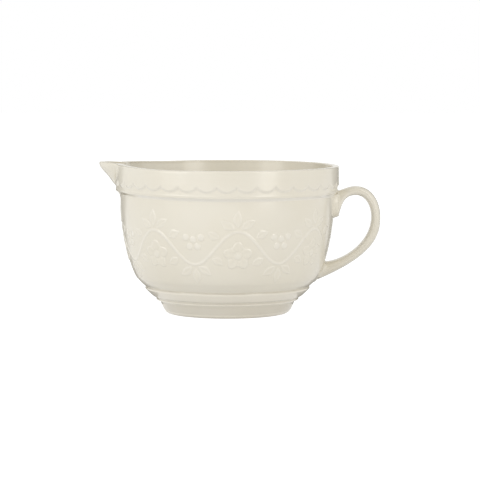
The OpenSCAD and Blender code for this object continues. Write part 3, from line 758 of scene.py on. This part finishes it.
def strap_end(upper, fillets):
    """Rings that swell from the strap's side lines into a fillet on the face it joins, and the place
    along the path where each line's fillet starts."""
    sign = 1 if upper else -1
    order = slice(None, end_reach) if upper else slice(None, -end_reach, -1)
    lean = 1 if upper else math.sin(math.radians(62))
    rings, starts = [], []
    for k, fillet in enumerate(fillets):
        x, y, z = lines[order, k].T
        gap = np.maximum.accumulate(lean * (np.hypot(x, y) - resting_r(y, z, upper)))
        clear = np.append(-sunk, fillet * (1 - np.sin(math.pi / 2 * fillet_shares)))
        swell = np.append(fillet, fillet * (1 - np.cos(math.pi / 2 * fillet_shares)))
        at = sign * np.interp(clear, gap, sign * path[order])
        point = np.stack([np.interp(at, path, lines[:, k, i]) for i in range(3)], 1)
        push = np.stack([np.interp(at, path, outwards[:, k, i]) for i in range(3)], 1)
        rings.append(point + push * swell[:, None])
        starts.append(at[-1])
    return np.stack(rings, 1), np.array(starts)


# Below, the fillets are widest at the strap's sides, where a wet finger wiped them
at_side = np.cos(side_turn) ** 2
root_rings, root_at = strap_end(True, (1.3 - 0.5 * at_side) * mm)
foot_rings, foot_at = strap_end(False, (1.2 + 3.0 * at_side) * mm)
span = np.linspace(0, 1, 112)[1:-1]
between = []
for share in span:
    at = root_at * (1 - share) + foot_at * share
    between.append([[np.interp(at[k], path, lines[:, k, i]) for i in range(3)] for k in range(strap_sides)])
strap_rings = np.concatenate([root_rings, np.array(between), foot_rings[::-1]])
strap_ends = strap_rings[-1].mean(0), strap_rings[0].mean(0)
# Painted light and shade on the strap: lighter along the inside of the bow's upper half, a little darker
# along its outside and darker towards its foot
strap_share = np.linspace(0, 1, len(strap_rings))[:, None]
strap_shading = (0.2 * np.maximum(across, 0) - 0.8 * np.maximum(-across, 0) * fading(strap_share, 0.5, 0.5)
              + 0.28 * rising(strap_share, 0.52, 0.4))
piece("handle_glazed", *disc_solid(strap_rings, *strap_ends), cream_glaze, "cream_glaze", "handle",
      coat_and_shading=np.append(strap_shading, [0, 0]))


# Raised vine
# A band of plant relief, raised by the mould in the wall's own clay and softened by the glaze, runs
# round the belly. Its stem goes in waves from one side of the handle past the lip to the other.

relief_colour = (0.79, 0.75, 0.65)
relief_glaze = glazed("relief_glaze", relief_colour, cream_pooled_and_shaded, cream_thin_and_lit)
blossom_count = 7
wave_count = 2 * blossom_count - 1
free_angle = math.radians(24)
wave_angle = (2 * math.pi - 2 * free_angle) / wave_count
vine_z, vine_wave = 66 * mm, 15 * mm
vine_s = np.interp(vine_z, wall_line[:, 1], wall_s)
vine_r = wall_radius(vine_z)
stem_w, stem_proud = 3 * mm, 0.44 * mm


def stem_point(waves):
    """Middle of the stem after a number of half waves, as distance round and along the wall."""
    waves = np.asarray(waves, float)
    return np.stack([waves * wave_angle * vine_r, vine_s + vine_wave * np.sin(math.pi * waves)], -1)


def relief(places, lift):
    """Points on the wall from distances round and along it, lifted off it."""
    return on_wall(free_angle + places[..., 0] / vine_r, places[..., 1], lift)


stem_waves = np.linspace(0, wave_count, wave_count * 26 + 1)
stem_run = stem_point(stem_waves + 0.01) - stem_point(stem_waves - 0.01)
stem_run /= np.linalg.norm(stem_run, axis=1, keepdims=True)
stem_side = np.stack([-stem_run[:, 1], stem_run[:, 0]], 1)
stem_full = 0.4 + 0.6 * np.clip(np.minimum(4 * stem_waves, 4 * (wave_count - stem_waves)), 0, 1)
stem_across = np.linspace(-1, 1, 13)
stem_spread = 1.35 * stem_w / 2 * stem_full[:, None] * stem_across[None]
stem_lift = stem_proud * stem_full[:, None] * np.cos(math.pi / 2 * stem_across[None]) ** 1.5 - sink
stem_places = stem_point(stem_waves)[:, None] + stem_side[:, None] * stem_spread[:, :, None]
stem_top = relief(stem_places, stem_lift)
stem_under = relief(stem_places[:, ::-6], np.full((len(stem_waves), 3), -root_depth))
stem_coat = np.concatenate([-0.4 * eased(stem_lift / stem_proud), np.zeros((len(stem_waves), 3))], 1)
piece("vine_stem_glazed", *strip_solid(np.concatenate([stem_top, stem_under], 1)), relief_glaze,
      "relief_glaze", "vine_stem", coat_and_shading=stem_coat)


# Leaves
# Five leaves stand round the outside of each crest and each trough of the vine, raised in the same
# clay. Each has a sunk midrib and faint veins.

leaf_l, leaf_w, leaf_proud = 18 * mm, 7.4 * mm, 0.52 * mm
leaf_margin = 0.8 * mm
leaf_edge, leaf_rib = 2 * mm, 0.55 * mm
leaf_rows, leaf_columns = 26, 17
# Place along the wave, heading from upright and share of the length
spray = [(0.5, 0, 1.05), (0.5, 56, 1), (0.5, -56, 1), (0.17, 62, 0.8), (0.83, -62, 0.8)]
leaf_start = 0.2


def grid_solid(front, depth_points):
    """Points and faces of a thin solid: a grid of points in front, and the grid's border set back."""
    rows, columns = front.shape[:2]
    index = np.arange(rows * columns).reshape(rows, columns)
    faces = [(index[j, i], index[j, i + 1], index[j + 1, i + 1], index[j + 1, i])
             for j in range(rows - 1) for i in range(columns - 1)]
    border = np.concatenate([index[0, :-1], index[:-1, -1], index[-1, :0:-1], index[:0:-1, 0]])
    back = depth_points.reshape(-1, 3)[border]
    points = np.vstack([front.reshape(-1, 3), back, [back.mean(0)]])
    first, n = rows * columns, len(border)
    faces += [(border[i], border[(i + 1) % n], first + (i + 1) % n, first + i) for i in range(n)]
    faces += [(first + i, first + (i + 1) % n, first + n) for i in range(n)]
    return points, faces


def joined(solids):
    """One mesh from several solids, as points, faces and coats."""
    points, faces, coats, start = [], [], [], 0
    for some, those, coat_and_shading in solids:
        points.append(some)
        faces += [tuple(start + i for i in face) for face in those]
        coats.append(coat_and_shading)
        start += len(some)
    return np.vstack(points), faces, np.concatenate(coats)


def leaf(base, direction, length):
    """A leaf on the wall, from its base point in a direction."""
    along = heading(direction)
    aside = np.array([-along[1], along[0]])
    up_share = np.linspace(-leaf_margin / length, 1 + leaf_margin / length, leaf_rows)[:, None]
    side_share = np.linspace(-1, 1, leaf_columns)[None, :]
    on_leaf = np.clip(up_share, 0, 1)
    half = leaf_w / 2 * np.sin(math.pi * on_leaf) * (1.15 - 0.3 * on_leaf) + leaf_margin
    # A slight curl of the midrib to one side makes each leaf lie naturally
    curl = 0.05 * length * np.sin(math.pi * on_leaf)
    places = base + along * (length * up_share)[..., None] + aside * (side_share * half + curl)[..., None]
    to_side = (1 - np.abs(side_share)) * half
    to_tip = np.minimum(up_share, 1 - up_share) * length + leaf_margin
    from_edge = np.minimum(to_side, to_tip) / leaf_edge
    depth = eased(from_edge)
    rib = np.exp(-((side_share * half / leaf_rib) ** 2)) * eased(to_tip / (3 * mm))
    vein = 0.5 + 0.5 * np.cos(2 * math.pi * (7 * up_share - 1.1 * np.abs(side_share)))
    cup = 0.82 + 0.18 * np.abs(side_share)
    lift = leaf_proud * depth * (cup - 0.32 * rib - 0.10 * vein**3 * (1 - rib)) - sink
    points, faces = grid_solid(relief(places, lift), relief(places, np.full(lift.shape, -root_depth)))
    coat_and_shading = np.zeros(len(points))
    coat_and_shading[:lift.size] = (0.3 * fading(from_edge, 0, 0.4) - 0.4 * depth * fading(from_edge, 0.5, 1)).ravel()
    return points, faces, coat_and_shading


for i in range(1, wave_count + 1):
    up = 1 if i % 2 == 1 else -1
    leaves = []
    for place, lean, size in spray:
        direction = up * math.radians(90 + lean)
        base = stem_point(i - 1 + place) + leaf_l * leaf_start * heading(direction)
        leaves.append(leaf(base, direction, leaf_l * size * (1 - leaf_start)))
    points, faces, coat_and_shading = joined(leaves)
    piece(f"leaf_spray_{i}_glazed", points, faces, relief_glaze, "relief_glaze", f"leaf_spray_{i}", coat_and_shading=coat_and_shading)


# Blossoms
# A five-petalled blossom with a round button sits in the hollow under each crest of the vine, raised
# in the same clay.

blossom_r, blossom_proud, blossom_edge = 13 * mm, 0.57 * mm, 1.7 * mm
hollow_drop = 7 * mm
petal_depth = 0.27
blossom_scales = np.concatenate([np.linspace(1.07, 0.84, 9), np.linspace(0.8, 0.06, 22)])
blossom_turn = np.linspace(0, 2 * math.pi, 120, endpoint=False)


def dome(places, lift, centre, thin):
    """A round sprig from rings of places about its centre, on which the coat thins by some share."""
    count = places.shape[1]
    sunk_ring = relief(places[:1], np.full((1, count), -root_depth))
    points, faces = disc_solid(np.concatenate([sunk_ring, relief(places, lift)]),
                               relief(centre, lift[-1].mean()), relief(centre, -root_depth))
    coat_and_shading = np.zeros(len(points))
    coat_and_shading[count:-2] = -np.broadcast_to(thin, lift.shape).ravel()
    return points, faces, coat_and_shading


def blossom(centre):
    petal = np.cos(5 * (blossom_turn - math.pi / 2))
    # The petals' outline fades to a round one at the button
    lobed = rising(blossom_scales[:, None], 0.2, 0.5)
    radius = blossom_r * blossom_scales[:, None] * (1 - petal_depth * lobed * (1 - petal) / 2)
    places = centre + radius[..., None] * heading(blossom_turn)[None]
    share = blossom_scales[:, None]
    from_edge = radius[0] - radius
    rim = rising(from_edge, 0, blossom_edge)
    # Petals part along a groove and are cupped along their middle
    part = rising(-petal, 0.55, 0.45)[None] * rising(share, 0.28, 0.3)
    cup = np.exp(-(((1 + petal) / 2 - 1) / 0.12) ** 2)[None] * np.exp(-(((share - 0.6) / 0.2) ** 2))
    full = 0.62 + 0.38 * rising(share, 0.2, 0.6)
    lift = blossom_proud * rim * full * (1 - 0.5 * part - 0.22 * cup)
    button = np.clip(1 - (share / 0.27) ** 2, 0, 1)
    moat = np.exp(-(((share - 0.31) / 0.06) ** 2))
    lift = lift * (1 - 0.45 * moat) + blossom_proud * 0.6 * np.sqrt(button) - sink
    thin = 0.4 * rim * fading(from_edge, blossom_edge / 2, blossom_edge) + 0.4 * button
    return dome(places, lift, centre, thin - 0.3 * fading(from_edge, 0, mm))


for i in range(1, blossom_count + 1):
    points, faces, coat_and_shading = blossom(np.array([(2 * i - 1.5) * wave_angle * vine_r, vine_s - hollow_drop]))
    piece(f"blossom_{i}_glazed", points, faces, relief_glaze, "relief_glaze", f"blossom_{i}", coat_and_shading=coat_and_shading)


# Berries
# Five berries lie bunched in the hollow above each trough of the vine, raised in the same clay. Each
# is a low dome with a dimple.

berry_r, berry_proud = 3 * mm, 0.7 * mm
berry_places = [(0, 0.15), (-1.15, 0.45), (1.15, 0.45), (-0.61, -0.9), (0.61, -0.9)]
berry_scales = np.array([1.2, 1.12, 1.05, 0.98, 0.9, 0.8, 0.68, 0.54, 0.4, 0.28, 0.18, 0.1])
berry_turn = np.linspace(0, 2 * math.pi, 32, endpoint=False)


def berry(centre):
    share = berry_scales[:, None]
    places = centre + berry_r * share[..., None] * heading(berry_turn)[None]
    full = np.sqrt(np.clip(1 - (share / 1.1) ** 2, 0, 1))
    dimple = np.exp(-((share / 0.16) ** 2))
    lift = berry_proud * (0.9 * full * fading(share, 0.95, 0.25) - 0.12 * dimple) - sink
    lift = np.broadcast_to(lift, places.shape[:2])
    return dome(places, lift, centre, 0.4 * eased(full) - 0.3 * rising(share, 1, 0.2))


for i in range(1, blossom_count):
    middle = np.array([(2 * i - 0.5) * wave_angle * vine_r, vine_s + hollow_drop])
    points, faces, coat_and_shading = joined([berry(middle + 2 * berry_r * np.array(p)) for p in berry_places])
    piece(f"berry_cluster_{i}_glazed", points, faces, relief_glaze, "relief_glaze",
          f"berry_cluster_{i}", coat_and_shading=coat_and_shading)


# Studio
# A white table under the bowl, an even white room and a large soft light on either side. Seen straight,
# the table and the room are plain white, and in the glaze's gloss the table keeps more of the bowl's
# shadow. The table doesn't show from below, so that the foot can be looked at.

floor_mesh = bpy.data.meshes.new("floor")
floor_half = 6.0
floor_mesh.from_pydata(
    [(x * floor_half, y * floor_half, -0.05 * mm) for x, y in ((-1, -1), (1, -1), (1, 1), (-1, 1))],
    [], [(0, 1, 2, 3)])
floor = linked("floor", floor_mesh)


def seen_directly(wire, *kinds):
    """1 for rays of these kinds, 0 for the rest."""
    total = 0
    for kind in kinds:
        total = wire.maths("MAXIMUM", total, wire.node("LightPath", output=kind))
    return total


def white_sheet(wire, colour, strength):
    """A white surface that is lit and also glows."""
    lit = wire.node("BsdfDiffuse", None, {"Color": [colour] * 3 + [1]})
    glow = wire.node("Emission", None, {"Color": (1, 1, 1, 1), "Strength": strength})
    return wire.node("AddShader", None, {0: lit, 1: glow})


paper = bpy.data.materials.new("white_table")
sheet = cleared(paper)
# What lights the bowl, what its gloss shows and what the camera sees
lighting, mirrored, pictured = (
    white_sheet(sheet, colour, glow) for colour, glow in ((0.55, 0.22), (0.5, 0.65), (0.34, 0.9)))
upper_side = seen_directly(sheet, "Is Glossy Ray").blended(lighting, mirrored)
upper_side = seen_directly(sheet, "Is Camera Ray").blended(upper_side, pictured)
backface = sheet.node("NewGeometry", output="Backfacing")
sheet.node("OutputMaterial", None, {"Surface": backface.blended(upper_side, sheet.node("BsdfTransparent"))})
floor_mesh.materials.append(paper)

world = bpy.data.worlds.new("studio")
bpy.context.scene.world = world
room = cleared(world)
room_light = 0.73
seen = seen_directly(room, "Is Camera Ray", "Is Glossy Ray", "Is Transmission Ray")
room.node("OutputWorld", None, {"Surface": room.node("Background", None, {
    "Color": (1, 1, 1, 1), "Strength": room_light + (1 - room_light) * seen})})


def aimed(made, place, target):
    """Puts a lamp or a camera at a place, facing a target."""
    aim = np.array(target) - np.array(place)
    made.location = place
    made.rotation_euler = (
        math.atan2(math.hypot(aim[0], aim[1]), -aim[2]), 0, math.atan2(aim[1], aim[0]) - math.pi / 2)


lamp_aim = (0, 0, 0.08)


def soft_light(name, turn, distance, height, size, power, colour):
    """A soft box that faces the bowl, turned from the camera's side by some degrees."""
    light = bpy.data.lights.new(name, "AREA")
    light.shape, light.size, light.size_y, light.energy = "RECTANGLE", *size, power
    light.color = colour
    side, front = math.sin(math.radians(turn)) * distance, -math.cos(math.radians(turn)) * distance
    aimed(linked(name, light), (side, front, height), lamp_aim)


soft_light("left_soft_box", -54, 1.0, 0.52, (0.55, 0.95), 3.7, (1, 1, 1))
soft_light("right_soft_box", 41, 1.0, 0.46, (0.36, 0.95), 2.8, (1, 0.975, 0.94))


def dark_card(name, *bends):
    """A dark card out of the picture that only shows in the glaze's gloss. It runs from bend to bend,
    each given by its two ends."""
    card_mesh = bpy.data.meshes.new(name)
    card_mesh.from_pydata(
        [end for bend in bends for end in bend], [],
        [(2 * i, 2 * i + 1, 2 * i + 3, 2 * i + 2) for i in range(len(bends) - 1)])
    felt = bpy.data.materials.new(name)
    felt.use_nodes = True
    felt.node_tree.nodes["Principled BSDF"].inputs["Base Color"].default_value = (0.06, 0.06, 0.06, 1)
    card_mesh.materials.append(felt)
    card = linked(name, card_mesh)
    card.visible_camera = card.visible_diffuse = card.visible_shadow = card.visible_transmission = False


# Beyond the bowl two cards draw its edges on the white ground. Behind the camera the room is dark.
# Each bend of a side card is the x and y of its inner end, those of its outer end, and its height.
side_bends = [
    (0.06, 0.07, 0.078, -0.01, 0), (0.08, 0.15, 0.1, 0.045, 0), (0.15, 0.28, 0.195, 0.17, 0),
    (0.22, 0.42, 0.3, 0.35, 0), (0.22, 0.42, 0.37, 0.24, 0.1), (0.22, 0.42, 0.37, 0.24, 0.7)]
for name, side in (("left_dark_card", -1), ("right_dark_card", 1)):
    dark_card(name, *(((side * x, y, z), (side * outer_x, outer_y, z))
                      for x, y, outer_x, outer_y, z in side_bends))
dark_card("camera_dark_card", *(((-0.6, -2.4, z), (1.07, -2.4, z)) for z in (0, 2.2)))


# Camera
# The photograph was taken from just above the rim's level, square to the bowl's side, with a long
# lens from about two metres away.

camera_x, camera_y, camera_z, aim_z = 0.01145, -2.082, 0.24377, 0.06577
camera_data = bpy.data.cameras.new("camera")
camera_data.sensor_width, camera_data.lens = 36, 171.8
camera = linked("camera", camera_data)
aimed(camera, (camera_x, camera_y, camera_z), (camera_x, 0, aim_z))
bpy.context.scene.camera = camera
bpy.context.scene.view_settings.view_transform = "Standard"
